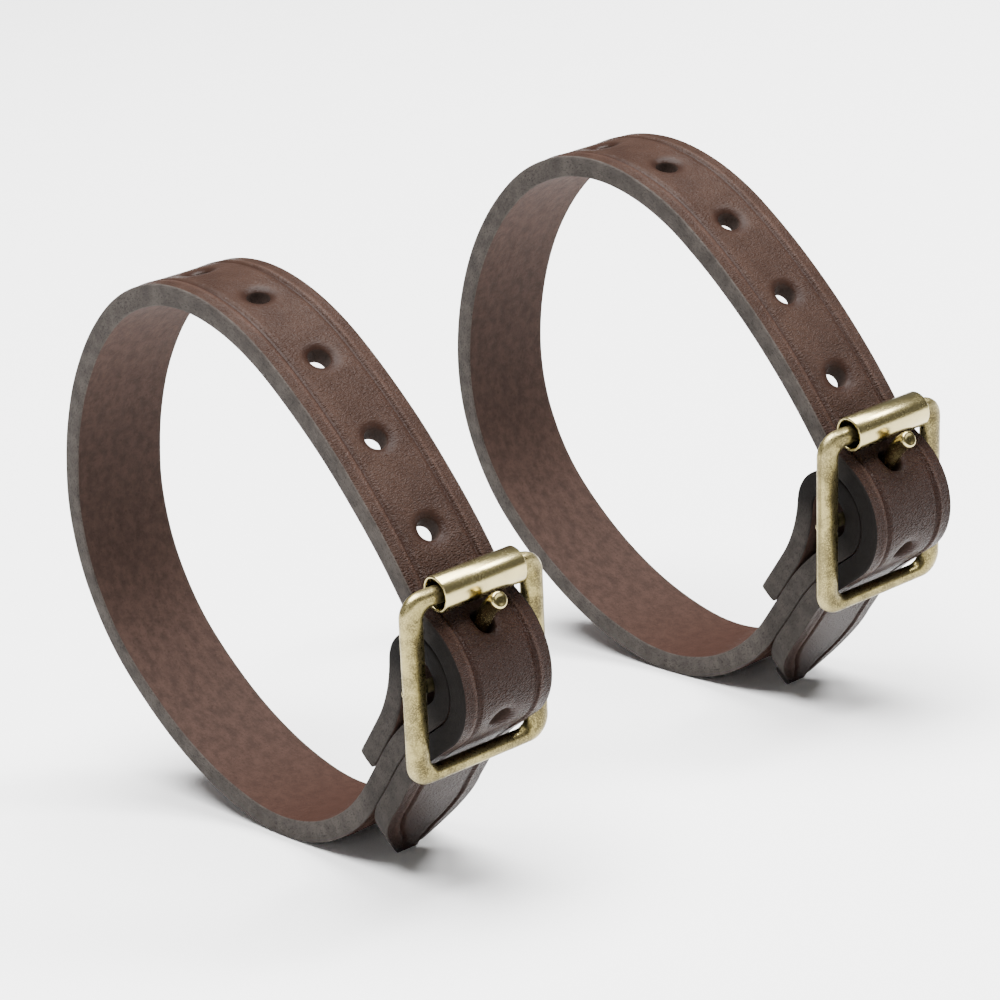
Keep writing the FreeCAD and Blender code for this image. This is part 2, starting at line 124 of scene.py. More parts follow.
class Route:
    """Straight runs and tangent arcs. Each piece is (begin, length, bend, place, heading), where begin is
    the route's length before it, and bend is in degrees for each millimetre, positive to the left."""

    def __init__(self, start, heading):
        self.place = start
        self.heading = heading
        self.pieces = []
        self.length = 0.0

    def go(self, length, bend=0.0):
        """Adds a straight run, or an arc when it bends."""
        self.pieces.append((self.length, length, bend, self.place, self.heading))
        self.place, self.heading = along_piece(self.pieces[-1], length)
        self.length += length
        return self

    def turn(self, radius, angle):
        """Adds an arc, to the left when its angle is positive."""
        bend = math.copysign(math.degrees(1 / radius), angle)
        return self.go(radius * math.radians(abs(angle)), bend)

    def at(self, distance):
        """The place and the heading at a distance along the route."""
        for piece in self.pieces:
            if distance <= piece[0] + piece[1]:
                break
        return along_piece(piece, distance - piece[0])


def along_piece(piece, distance):
    begin, length, bend, place, heading = piece
    if bend == 0.0:
        return place + unit(heading) * distance, heading
    after = heading + bend * distance
    radius = 1 / math.radians(bend)
    return place + 1j * radius * (unit(heading) - unit(after)), after


def dot(a, b):
    return a.real * b.real + a.imag * b.imag


def make_strap_route():
    """From the chape's cut end, round the fold, the loop and the bulge over the fold, to the tail's nib."""
    step = LEATHER + LAYER_GAP
    fold_start = FOLD_CENTRE - FOLD_RADIUS
    heel = Route(fold_start, 90).turn(FOLD_RADIUS, THROAT_HEADING - 450).go(THROAT_LENGTH)
    heel.turn(SWAY_RADIUS, HEEL_HEADING - THROAT_HEADING).go(HEEL_LENGTH)
    outward = 1j * unit(HEEL_HEADING)
    chape_radius = (dot(heel.place, outward) - step - dot(fold_start, outward)) / (1 - outward.real)
    chape = Route(fold_start, 270).turn(chape_radius, HEEL_HEADING - 270).go(CHAPE_LENGTH)

    route = Route(chape.place, HEEL_HEADING - 180)
    route.go(CHAPE_LENGTH).turn(chape_radius, 270 - HEEL_HEADING)
    route.fold_start = route.length
    route.turn(FOLD_RADIUS, THROAT_HEADING - 450).go(THROAT_LENGTH)
    route.turn(SWAY_RADIUS, HEEL_HEADING - THROAT_HEADING).go(HEEL_LENGTH)
    route.heel_end = route.length
    route.bottom_centre = route.place - 1j * unit(HEEL_HEADING) * BOTTOM_RIGHT_RADIUS
    route.turn(BOTTOM_RIGHT_RADIUS, 180 - HEEL_HEADING)
    for radius, angle in LOOP_ARCS:
        route.turn(radius, angle)

    roller_turn = ROLLER_RADIUS + ROLLER_GAP + LEATHER / 2
    first_centre = route.place - 1j * TOP_RIGHT_RADIUS
    outward = 1j * unit(ROLLER_HEADING)
    target = TOP_BAR - outward * roller_turn
    gap = target - first_centre
    last_radius = TOP_RIGHT_RADIUS ** 2 - abs(gap) ** 2
    last_radius /= 2 * (TOP_RIGHT_RADIUS - dot(gap, outward))
    last_centre = target - outward * last_radius
    change = math.degrees(cmath.phase(first_centre - last_centre)) - 90
    route.turn(TOP_RIGHT_RADIUS, change).turn(last_radius, ROLLER_HEADING - change)

    bulge_radius = FOLD_RADIUS + step
    across = TOP_BAR - FOLD_CENTRE
    reach = roller_turn + bulge_radius
    leaving = math.degrees(cmath.phase(across)) - math.degrees(math.acos(reach / abs(across))) - 90
    route.turn(roller_turn, leaving - ROLLER_HEADING)
    route.go(math.sqrt(abs(across) ** 2 - reach ** 2))
    route.bulge_start = route.length
    route.turn(bulge_radius, THROAT_HEADING - 360 - leaving).go(THROAT_LENGTH)
    route.turn(SWAY_RADIUS - step, HEEL_HEADING - THROAT_HEADING).go(TAIL_LENGTH)
    return route


def stance(route):
    """How far the grip turns about Y to stand on its bottom and on the tail's tip, in degrees."""
    tip = route.place + 1j * unit(route.heading) * LEATHER / 2
    across = tip - route.bottom_centre
    radius = BOTTOM_RIGHT_RADIUS + LEATHER / 2
    return math.degrees(cmath.phase(across) + math.asin(radius / abs(across)))


STRAP = make_strap_route()
STANCE = math.radians(stance(STRAP))
OUTLINE_STEPS = 1600


def grip_origin(side):
    """Where the grip's own origin lies in the frame: its outline is set against the CAD strap's box."""
    low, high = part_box(side + "_strap")
    turn = cmath.exp(-1j * STANCE)
    outline = []
    for step in range(OUTLINE_STEPS + 1):
        place, heading = STRAP.at(STRAP.length * step / OUTLINE_STEPS)
        outline.append((place + 1j * unit(heading) * LEATHER / 2) * turn)
    left = min(point.real for point in outline)
    bottom = min(point.imag for point in outline)
    return Vector((low.x - left * MM, (low.y + high.y) / 2, low.z - bottom * MM))


def grip_matrix(side):
    """From a grip's own millimetres, X and Z in the loop's plane and Y across, to the frame."""
    turn = Matrix.Rotation(STANCE, 4, "Y")
    return Matrix.Translation(grip_origin(side)) @ turn @ Matrix.Scale(MM, 4)


# ---------------------------------------------------------------- meshes

LATHE_SIDES = 40


def make_piece(name, points, faces, side, body, materials, face_materials=None, flat=None):
    """A mesh piece from points in a grip's own millimetres, riding on a body. face_materials gives each
    face its material's number, and flat gives each point its flat place, which the leather's looks use."""
    mesh = bpy.data.meshes.new(name)
    matrix = grip_matrix(side)
    mesh.from_pydata([matrix @ Vector(point) for point in points], [], faces)
    for material in materials:
        mesh.materials.append(material)
    if face_materials is not None:
        mesh.polygons.foreach_set("material_index", face_materials)
    if flat is not None:
        layer = mesh.attributes.new("flat_place", "FLOAT_VECTOR", "POINT")
        layer.data.foreach_set("vector", np.array(flat, np.float32).ravel())
    mesh.polygons.foreach_set("use_smooth", [True] * len(mesh.polygons))
    face_outwards(mesh)
    piece = bpy.data.objects.new(name, mesh)
    bpy.context.scene.collection.objects.link(piece)
    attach(piece, body)
    return piece


def face_outwards(mesh):
    """Turns every face of a closed mesh to the outside."""
    work = bmesh.new()
    work.from_mesh(mesh)
    bmesh.ops.recalc_face_normals(work, faces=work.faces)
    work.to_mesh(mesh)
    work.free()


def loop_faces(rings, closed):
    """Quads between neighbouring rings of point numbers, and back to the first ring when closed."""
    faces = []
    count = len(rings)
    last = count if closed else count - 1
    for index in range(last):
        here = rings[index]
        there = rings[(index + 1) % count]
        size = len(here)
        for corner in range(size):
            after = (corner + 1) % size
            faces.append((here[corner], here[after], there[after], there[corner]))
    return faces


def tube_faces(rings):
    """Quads along a tube of rings, and a face that closes each end."""
    return loop_faces(rings, False) + [tuple(reversed(rings[0])), tuple(rings[-1])]


def lathe(profile, start, axis):
    """Points and faces of a closed turned shape. profile is (distance along the axis, radius)."""
    axis = Vector(axis).normalized()
    first = axis.orthogonal().normalized()
    second = axis.cross(first)
    points = []
    rings = []
    for along, radius in profile:
        ring = []
        for step in range(LATHE_SIDES):
            angle = 2 * math.pi * step / LATHE_SIDES
            spoke = first * math.cos(angle) + second * math.sin(angle)
            ring.append(len(points))
            points.append(Vector(start) + axis * along + spoke * radius)
        rings.append(ring)
    return points, tube_faces(rings)


def round_end(length, radius, curve, steps=5):
    """Profile points that round a shaft's far end, for lathe."""
    points = []
    for step in range(steps + 1):
        angle = math.pi / 2 * step / steps
        points.append((length - curve + curve * math.sin(angle), radius - curve + curve * math.cos(angle)))
    return points


def smooth_noise(x, y, z=0.0):
    return noise.noise(Vector((x, y, z)))


def unevenness(waves, along, across, seed):
    """Height of an uneven surface. waves is its height, and the length of its waves each way."""
    height, length, width = waves
    return height * smooth_noise(along / length, across / width, seed)


# ---------------------------------------------------------------- the strap

HALF_WIDTH = STRAP_WIDTH / 2
HALF_LEATHER = LEATHER / 2
GRAIN_FACE, FLESH_FACE, EDGE_FACE, WALL_FACE = range(4)

# Columns of points across the strap: insets from each edge, close together at the pressed border line,
# and then a window of even cells, in which the punched openings are cut.
EDGE_COLUMNS = (0.35, 0.8, 1.5, 2.2, 2.7, 3.05, 3.4, 3.75, 4.1, 4.7)
CELL = 0.7
WINDOW_CELLS = 6
WINDOW = CELL * WINDOW_CELLS
COLUMNS = 2 * (len(EDGE_COLUMNS) + WINDOW_CELLS) + 1
SQUEEZE_BELOW = 6.5
MIDDLE_INSET = 0.3

# The cut edge from the grain side's corner to the flesh side's, as (out past the half width, up).
EDGE_SHAPE = (
    (-0.12, HALF_LEATHER - 0.09),
    (-0.02, HALF_LEATHER - 0.3),
    (0.02, HALF_LEATHER - 0.9),
    (0.04, 0.0),
    (0.02, 0.9 - HALF_LEATHER),
    (-0.02, 0.26 - HALF_LEATHER),
    (-0.11, 0.08 - HALF_LEATHER),
)
FLESH_START = COLUMNS + len(EDGE_SHAPE)

# Steps between cross-sections, and the corners of the two cut ends.
LONG_STEP = 0.8
POINT_STEP = 0.6
LAST_STEP = 0.5
NIB_JUMP = 0.06
END_CORNER = 0.12
END_ROUND = 0.35
END_THINNING = 0.1

# The pressed border line: each wave's height, its place from the line's middle, and its spread.
CREASE_INSET = 3.3
CREASE_WAVES = ((-0.40, 0.0, 0.40), (0.09, 0.95, 0.5), (0.21, -0.75, 0.42))

GRAIN_WAVES = (0.05, 7, 6)
FLESH_WAVES = (0.04, 5, 4)
FLESH_SEED = 9
WANDER = 0.06
WANDER_LENGTH = 11

# Punched openings. The holes are counted in steps from the one that the tongue is in, which is worn
# oblong. A slot's end is its angle round the fold, and how far past that it runs.
HOLE_STEPS = (-5, -4, -3, -2, -1, 1)
FLESH_TAPER = 0.87
TONGUE_HOLE_RADIUS = 1.9
TONGUE_HOLE_WEAR = 0.45
SLOT_HALF_WIDTH = 2.2
SLOT_ENDS = ((92, -1.2), (227, 1.5))
DIMPLE = 0.85
TONGUE_DIMPLE = 0.5
DIMPLE_SPREAD = 0.85
DIMPLE_REACH = 7
RIM_SHARES = (0.72, 0.5, 0.33, 0.2, 0.1, 0.03, 0.0)
RIM_ROUND = 0.25
RIM_ROUND_SHARE = 0.15
WALL_SHARES = (0.12, 0.35, 0.65, 0.9)
SEARCH_REACH = 6
HALVINGS = 40

Punch = namedtuple("Punch", "start end radius lean")


def tongue_start():
    return CENTRE_BAR + 1j * unit(TONGUE_HEADING) * CURL_RADIUS


def crossing(up):
    """Distance along the strap at which the tongue's shank crosses a layer of it, found by halving."""
    low = STRAP.bulge_start - SEARCH_REACH
    high = STRAP.bulge_start + SEARCH_REACH
    for _ in range(HALVINGS):
        middle = (low + high) / 2
        place, heading = STRAP.at(middle)
        offset = (place + 1j * unit(heading) * up - tongue_start()) / unit(TONGUE_HEADING)
        if offset.imag > 0:
            low = middle
        else:
            high = middle
    return middle


def strap_punches():
    """Each punched opening: the start and end of its middle line, its radius, and its lean, which is how
    far along the strap its flesh side lies from its grain side."""
    punches = []
    for step in HOLE_STEPS:
        centre = STRAP.bulge_start + step * HOLE_PITCH
        punches.append(Punch(centre, centre, HOLE_RADIUS, 0.0))
    tongue = crossing(HALF_LEATHER)
    punches.append(Punch(tongue - TONGUE_HOLE_WEAR, tongue + TONGUE_HOLE_WEAR, TONGUE_HOLE_RADIUS,
                         crossing(-HALF_LEATHER) - tongue))
    slot_start, slot_end = [
        STRAP.fold_start + FOLD_RADIUS * math.radians(angle) + past for angle, past in SLOT_ENDS]
    punches.append(Punch(slot_start + SLOT_HALF_WIDTH, slot_end - SLOT_HALF_WIDTH, SLOT_HALF_WIDTH, 0.0))
    return sorted(punches)


def strap_stations(punches):
    """Distances of the cross-sections, and for each punch the first and last section of its window."""
    stations = [0.0, END_CORNER, END_ROUND]
    windows = []
    for punch in punches:
        begin = punch.start - WINDOW
        finish = punch.end + WINDOW
        fill(stations, begin, LONG_STEP)
        first = len(stations) - 1
        cells = max(2 * WINDOW_CELLS, round((finish - begin) / CELL))
        for cell in range(1, cells + 1):
            stations.append(begin + (finish - begin) * cell / cells)
        windows.append((first, len(stations) - 1))
    shoulder = STRAP.length - NIB_LENGTH - POINT_LENGTH
    fill(stations, shoulder, LONG_STEP)
    fill(stations, shoulder + POINT_LENGTH, POINT_STEP)
    stations.append(shoulder + POINT_LENGTH + NIB_JUMP)
    fill(stations, STRAP.length - END_ROUND, LAST_STEP)
    stations += [STRAP.length - END_CORNER, STRAP.length]
    return stations, windows


def fill(stations, end, step):
    """Evenly spaced stations up to an end."""
    begin = stations[-1]
    count = max(1, round((end - begin) / step))
    for index in range(1, count + 1):
        stations.append(begin + (end - begin) * index / count)


def half_width_at(along):
    """Half the strap's width, with its curved point and nib."""
    past = along - (STRAP.length - NIB_LENGTH - POINT_LENGTH)
    if past <= 0:
        return HALF_WIDTH
    if past > POINT_LENGTH + SLACK:
        return NIB_HALF_WIDTH
    share = past / POINT_LENGTH
    end = NIB_HALF_WIDTH + NIB_STEP
    return HALF_WIDTH + (end - HALF_WIDTH) * share + 4 * POINT_BULGE * share * (1 - share)


def column_places(half_width):
    """Places of the columns across the strap, and how much they are squeezed where it is narrow."""
    squeeze = min(1.0, half_width / SQUEEZE_BELOW)
    insets = [inset * squeeze for inset in EDGE_COLUMNS]
    middle = min(WINDOW, half_width - insets[-1] - MIDDLE_INSET * squeeze)
    outer = [half_width - inset for inset in insets]
    inner = [middle * index / WINDOW_CELLS for index in range(WINDOW_CELLS, -1, -1)]
    right = outer + inner
    return [-place for place in right] + right[-2::-1], squeeze


def crease(inset, squeeze):
    """Height of the pressed border line at an inset from the edge."""
    away = inset - CREASE_INSET * squeeze
    height = 0.0
    for rise, middle, spread in CREASE_WAVES:
        height += rise * math.exp(-((away - middle) / spread) ** 2)
    return height * squeeze ** 2


def edge_profile(half_width):
    """The cut edge from the grain side's corner to the flesh side's, as (across, up)."""
    return [(half_width + out, up) for out, up in EDGE_SHAPE]


def nearest_middle(punch, along):
    """The place on a punch's middle line that is nearest to a place along the strap."""
    return min(max(along, punch.start), punch.end)


def grain_height(along, across, half_width, squeeze, punches, seed):
    """Height of the grain side: creases, a slight unevenness, and dimples round the holes."""
    up = HALF_LEATHER + crease(half_width - abs(across), squeeze)
    up += unevenness(GRAIN_WAVES, along, across, seed)
    for punch in punches:
        middle = nearest_middle(punch, along)
        if punch.radius < SLOT_HALF_WIDTH and abs(along - middle) < DIMPLE_REACH:
            away = math.hypot(along - middle, across) - punch.radius
            depth = DIMPLE if punch.start == punch.end else TONGUE_DIMPLE
            up -= depth * math.exp(-max(away, 0.0) / DIMPLE_SPREAD)
    return up


def flesh_height(along, across, seed):
    return -HALF_LEATHER + unevenness(FLESH_WAVES, along, across, seed + FLESH_SEED)


def build_strap(side, seed):
    """The whole strap as one closed mesh, laid flat first and then bent along its route."""
    punches = strap_punches()
    stations, windows = strap_stations(punches)
    flat = []
    sections = []
    for along in stations:
        sections.append(add_section(flat, along, punches, seed))

    faces = []
    kinds = []
    ring = 2 * FLESH_START
    window_columns = range(len(EDGE_COLUMNS), COLUMNS - len(EDGE_COLUMNS) - 1)
    for index in range(len(stations) - 1):
        inside = any(first <= index < last for first, last in windows)
        here = sections[index]
        there = sections[index + 1]
        for column in range(ring):
            grain = column < COLUMNS - 1
            flesh = FLESH_START <= column < FLESH_START + COLUMNS - 1
            above = column if grain else FLESH_START + COLUMNS - 2 - column
            if inside and (grain or flesh) and above in window_columns:
                continue
            after = (column + 1) % ring
            faces.append((here[column], there[column], there[after], here[after]))
            kinds.append(GRAIN_FACE if grain else FLESH_FACE if flesh else EDGE_FACE)

    for section in (sections[0], sections[-1]):
        add_end(faces, kinds, section)
    for punch, window in zip(punches, windows):
        add_opening(flat, faces, kinds, sections, punch, window, punches, seed)

    points = [bend_place(*place) for place in flat]
    return make_piece(
        side + "_leather_strap", points, faces, side, side + "_grip",
        [GRAIN, FLESH, CUT_EDGE, HOLE_WALL], kinds, flat)


def bend_place(along, across, up):
    """A flat place on the strap, moved to where it lies on the bent strap."""
    place, heading = STRAP.at(min(max(along, 0.0), STRAP.length))
    place += 1j * unit(heading) * up
    return place.real, across, place.imag


def end_share(along):
    """How much of its full thickness the strap has near its two cut ends."""
    away = min(along, STRAP.length - along)
    return 1 - END_THINNING * max(0.0, 1 - away / END_ROUND) ** 2


def add_section(flat, along, punches, seed):
    """One closed cross-section: grain side, far edge, flesh side, near edge."""
    half_width = half_width_at(along)
    wander = WANDER * smooth_noise(along / WANDER_LENGTH, seed)
    places, squeeze = column_places(half_width)
    share = end_share(along)
    first = len(flat)
    for across in places:
        up = grain_height(along, across, half_width, squeeze, punches, seed)
        flat.append((along, across + wander, up * share))
    for across, up in edge_profile(half_width):
        flat.append((along, across + wander, up * share))
    for across in reversed(places):
        flat.append((along, across + wander, flesh_height(along, across, seed) * share))
    for across, up in reversed(edge_profile(half_width)):
        flat.append((along, wander - across, up * share))
    return list(range(first, len(flat)))


def add_end(faces, kinds, section):
    """Closes a cut end with quads between the grain side and the flesh side."""
    grain = section[:COLUMNS]
    far = section[COLUMNS:FLESH_START]
    flesh = section[FLESH_START:FLESH_START + COLUMNS][::-1]
    near = section[FLESH_START + COLUMNS:]
    for column in range(COLUMNS - 1):
        faces.append((grain[column], grain[column + 1], flesh[column + 1], flesh[column]))
    faces.append(tuple([grain[-1]] + far + [flesh[-1]]))
    faces.append(tuple([flesh[0]] + near + [grain[0]]))
    kinds.extend([EDGE_FACE] * (COLUMNS + 1))


def add_opening(flat, faces, kinds, sections, punch, window, punches, seed):
    """Replaces a window of the strap's two faces with rings that run in to a punched opening."""
    first, last = window
    low = len(EDGE_COLUMNS)
    high = COLUMNS - len(EDGE_COLUMNS) - 1
    border = [(row, low) for row in range(first, last)]
    border += [(last, column) for column in range(low, high)]
    border += [(row, high) for row in range(last, first, -1)]
    border += [(first, column) for column in range(high, low, -1)]

    rims = []
    for grain in (True, False):
        numbers = []
        for row, column in border:
            slot = column if grain else FLESH_START + COLUMNS - 1 - column
            numbers.append(sections[row][slot])
        shift = 0.0 if grain else punch.lean
        tapered = punch.start == punch.end and not grain
        bore = punch.radius * FLESH_TAPER if tapered else punch.radius
        rings = [numbers]
        for share in RIM_SHARES:
            ring = []
            for number in numbers:
                along, across, up = flat[number]
                middle = nearest_middle(punch, along)
                spoke = Vector((along - middle, across)).normalized() * bore
                rim_along = middle + spoke.x + shift
                place_along = rim_along + (along - rim_along) * share
                place_across = spoke.y + (across - spoke.y) * share
                if grain:
                    up = grain_height(place_along, place_across, HALF_WIDTH, 1.0, punches, seed)
                else:
                    up = flesh_height(place_along, place_across, seed)
                    up += RIM_ROUND * max(0.0, 1 - share / RIM_ROUND_SHARE) ** 2
                ring.append(len(flat))
                flat.append((place_along, place_across, up))
            rings.append(ring)
        around = loop_faces(rings, False)
        faces.extend(around)
        kinds.extend([GRAIN_FACE if grain else FLESH_FACE] * len(around))
        rims.append(rings[-1])
    add_wall(flat, faces, kinds, rims)


def add_wall(flat, faces, kinds, rims):
    """The wall of an opening, from its grain rim to its flesh rim."""
    top, bottom = rims
    rings = [top]
    for share in WALL_SHARES:
        ring = []
        for upper, lower in zip(top, bottom):
            ring.append(len(flat))
            flat.append(tuple(Vector(flat[upper]).lerp(Vector(flat[lower]), share)))
        rings.append(ring)
    rings.append(bottom)
    wall = loop_faces(rings, False)
    faces.extend(wall)
    kinds.extend([WALL_FACE] * len(wall))


# ---------------------------------------------------------------- the buckle

CORNER_STEPS = 10
SIDE_CELLS = 22
BAR_CELLS = 16
# The frame's section: its number of points, how square it is, and how far its front is crowned.
FRAME_SECTION = 24
SQUARENESS = 0.86
CROWN = 0.1
CAST_WAVES = (0.05, 2.2, 2.2)

# One half of the centre bar, as (in from a face of the frame's side, radius): the bar up to the side's
# inner face, and then its pin, which is riveted nearly flush with the outer face.
BAR_SHOULDER = ((0.25, BAR_RADIUS), (0.05, BAR_RADIUS - 0.2), (0.0, 0.7))
PIN_END = ((0.6, 0.7), (0.44, 0.8), (0.3, 0.76), (0.15, 0.6), (0.05, 0.4), (0.01, 0.18))

ROLLER_SEAM = math.radians(232)
SEAM_HALF_GAP = 0.05
SEAM_DIP = 0.06
SEAM_DIP_STEPS = 3
ROLLER_STEPS = 72
RIM_STEPS = 5
RIM_CURVE = 0.25
ROLLER_WAVES = (0.05, 9, 8)

TONGUE_STEPS = 90
TONGUE_SIDES = 28
# The wire's root as (along, radius), and its tip as (in from the end, past the wire's radius).
TONGUE_ROOT = ((0.0, 0.3), (0.0, TONGUE_RADIUS - 0.35), (0.1, TONGUE_RADIUS - 0.1), (0.32, TONGUE_RADIUS))
TONGUE_TIP = (
    (0.45, 0.06), (0.2, -0.02), (0.06, -0.14), (0.0, -0.3), (0.03, -0.5), (0.16, -0.75), (0.2, -1.2))
TIP_SWELL = 0.08
TIP_SWELL_LENGTH = 2.0


def frame_axes():
    """The top bar's place, and the directions up the frame and out of its face."""
    up = TOP_BAR - (CENTRE_BAR + BAR_SET_BACK)
    up /= abs(up)
    return TOP_BAR, up, -1j * up


def frame_outline():
    """Matched outer and inner places round the ring, each as (across, up)."""
    inner = FRAME_INNER_WIDTH / 2
    outer = inner + FRAME_SIDE_WIDTH
    top = TOP_BAR_HEIGHT / 2
    bottom = BOTTOM_BAR_HEIGHT / 2
    outer_box = (outer, top, -FRAME_DROP - bottom)
    inner_box = (inner, -top, -FRAME_DROP + bottom)
    corners = []
    for across_side, up_side, begin in ((1, 1, 0), (-1, 1, 90), (-1, -1, 180), (1, -1, 270)):
        arc = []
        for step in range(CORNER_STEPS + 1):
            angle = math.radians(begin + 90 * step / CORNER_STEPS)
            pair = []
            for (width, high, low), radius in ((outer_box, OUTER_CORNER), (inner_box, INNER_CORNER)):
                centre_across = across_side * (width - radius)
                centre_up = high - radius if up_side > 0 else low + radius
                pair.append(Vector((centre_across + radius * math.cos(angle),
                                    centre_up + radius * math.sin(angle))))
            arc.append(pair)
        corners.append(arc)
    outline = []
    for index, arc in enumerate(corners):
        outline += arc
        following = corners[(index + 1) % 4][0]
        count = SIDE_CELLS if index % 2 else BAR_CELLS
        for step in range(1, count):
            share = step / count
            outline.append([arc[-1][end].lerp(following[end], share) for end in (0, 1)])
    return outline


def squared(share):
    """A sine or a cosine, swollen so that a circle of them comes out slightly square."""
    return math.copysign(abs(share) ** SQUARENESS, share)


def build_frame(side, seed):
    """The cast ring: a domed section carried round the outline, with a slightly uneven surface."""
    origin, up, out = frame_axes()
    points = []
    rings = []
    for outer, inner in frame_outline():
        middle = (outer + inner) / 2
        reach = (outer - inner) / 2
        ring = []
        for step in range(FRAME_SECTION):
            angle = 2 * math.pi * step / FRAME_SECTION
            thickness = FRAME_THICKNESS / 2 * (1.0 + CROWN * max(0.0, math.sin(angle)))
            place = middle + reach * squared(math.cos(angle))
            depth = thickness * squared(math.sin(angle))
            rough = unevenness(CAST_WAVES, place.x, place.y, depth + seed)
            in_plane = origin + up * place.y + out * (depth + rough)
            ring.append(len(points))
            points.append((in_plane.real, place.x, in_plane.imag))
        rings.append(ring)
    piece = make_piece(side + "_cast_ring", points, loop_faces(rings, True), side,
                       side + "_buckle", [BRASS])
    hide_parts(side + "_buckle_frame")


def build_centre_bar(side):
    """The bar between the frame's sides, near black with painted shade, with a brass pin through each side.
    """
    half_inner = FRAME_INNER_WIDTH / 2
    half_outer = half_inner + FRAME_SIDE_WIDTH
    half = [(0.0, BAR_RADIUS)]
    half += [(half_inner - back, radius) for back, radius in BAR_SHOULDER]
    half += [(half_outer - back, radius) for back, radius in PIN_END]
    profile = [(-along, radius) for along, radius in reversed(half[1:])] + half
    points, faces = lathe(profile, (CENTRE_BAR.real, 0, CENTRE_BAR.imag), (0, 1, 0))
    kinds = []
    for face in faces:
        away = min(abs(points[number].y) for number in face)
        kinds.append(1 if away >= half_inner - SLACK else 0)
    piece = make_piece(side + "_riveted_bar", points, faces, side, side + "_buckle",
                       [DARK_BRASS, BRASS], kinds)
    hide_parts(side + "_centre_bar")


def build_roller(side, seed):
    """Sheet rolled into a tube, with rounded rims and its butt seam left open on the hidden side."""
    middle = ROLLER_RADIUS - ROLLER_WALL / 2
    half = ROLLER_LENGTH / 2
    profile = []
    for end in (-1, 1):
        for step in range(RIM_STEPS + 1):
            angle = math.pi * step / RIM_STEPS
            radius = middle + end * -math.cos(angle) * ROLLER_WALL / 2
            profile.append((end * (half - RIM_CURVE + RIM_CURVE * math.sin(angle)), radius))
    points = []
    rings = []
    for step in range(ROLLER_STEPS + 1):
        angle = ROLLER_SEAM + SEAM_HALF_GAP + (2 * math.pi - 2 * SEAM_HALF_GAP) * step / ROLLER_STEPS
        lift = SEAM_DIP * math.exp(-min(step, ROLLER_STEPS - step) / SEAM_DIP_STEPS)
        ring = []
        for across, radius in profile:
            wave = math.copysign(unevenness(ROLLER_WAVES, step, across, seed), across)
            place = TOP_BAR + (radius - lift) * cmath.exp(1j * angle)
            ring.append(len(points))
            points.append((place.real, ROLLER_OFFSET + across + wave, place.imag))
        rings.append(ring)
    piece = make_piece(side + "_rolled_roller", points, tube_faces(rings), side, side + "_roller_body",
                       [BRIGHT_BRASS])
    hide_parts(side + "_roller")


def build_tongue(side):
    """Round wire, curled round the centre bar, with a flat end and a broken edge."""
    start_heading = TONGUE_HEADING + CURL_TURN
    start = CENTRE_BAR + 1j * unit(start_heading) * CURL_RADIUS
    route = Route(start, start_heading).turn(CURL_RADIUS, -CURL_TURN).go(TONGUE_STRAIGHT)
    route.turn(TONGUE_BEND_RADIUS, -TONGUE_BEND)
    stops = list(TONGUE_ROOT)
    for step in range(2, TONGUE_STEPS - 2):
        along = route.length * step / TONGUE_STEPS
        swell = TIP_SWELL * max(0.0, 1 - (route.length - along) / TIP_SWELL_LENGTH)
        stops.append((along, TONGUE_RADIUS + swell))
    stops += [(route.length - back, TONGUE_RADIUS + past) for back, past in TONGUE_TIP]
    points = []
    rings = []
    for along, radius in stops:
        place, heading = route.at(along)
        ring = []
        for step in range(TONGUE_SIDES):
            angle = 2 * math.pi * step / TONGUE_SIDES
            spot = place + 1j * unit(heading) * radius * math.cos(angle)
            ring.append(len(points))
            points.append((spot.real, radius * math.sin(angle), spot.imag))
        rings.append(ring)
    piece = make_piece(side + "_wire_tongue", points, tube_faces(rings), side, side + "_tongue_body",
                       [BRIGHT_BRASS])
    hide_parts(side + "_tongue")


# ---------------------------------------------------------------- the rivet

# The shank's end as (past the chape's inner face, past the shank's radius), and the head's and cap's edges.
SHANK_END = ((-0.6, -0.2), (-0.45, 0.0))
HEAD_EDGE = 0.15
HEAD_CURVE = 0.3
CAP_CURVE = 1.0
CAP_STEPS = 8
CAP_FLAT = 0.4


def build_rivet(side):
    """The post, with its head flush in the layer under the tail, and the cap on the chape's inner face."""
    place, heading = STRAP.at(RIVET_FROM_END)
    out = -1j * unit(heading)
    outward = (out.real, 0, out.imag)
    inner = -HALF_LEATHER
    outer = LEATHER + LAYER_GAP + HALF_LEATHER
    middle = (place.real, 0, place.imag)

    under = outer - RIVET_HEAD_HEIGHT
    post = [(inner + past, RIVET_SHANK + wider) for past, wider in SHANK_END]
    post += [(under, RIVET_SHANK), (under, RIVET_HEAD - HEAD_EDGE), (under + HEAD_EDGE, RIVET_HEAD)]
    post += round_end(outer, RIVET_HEAD, HEAD_CURVE)
    points, faces = lathe(post, middle, outward)
    piece = make_piece(side + "_rivet_post_turned", points, faces, side, side + "_grip",
                       [BRASS])
    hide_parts(side + "_rivet_post")

    back = (-outward[0], 0, -outward[2])
    top = -inner + RIVET_CAP_HEIGHT
    cap = [(-inner, RIVET_HEAD)] + round_end(top, RIVET_HEAD, CAP_CURVE, CAP_STEPS) + [(top, CAP_FLAT)]
    points, faces = lathe(cap, middle, back)
    piece = make_piece(side + "_rivet_cap_domed", points, faces, side, side + "_grip",
                       [BRASS])
    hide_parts(side + "_rivet_cap")


# ---------------------------------------------------------------- materials

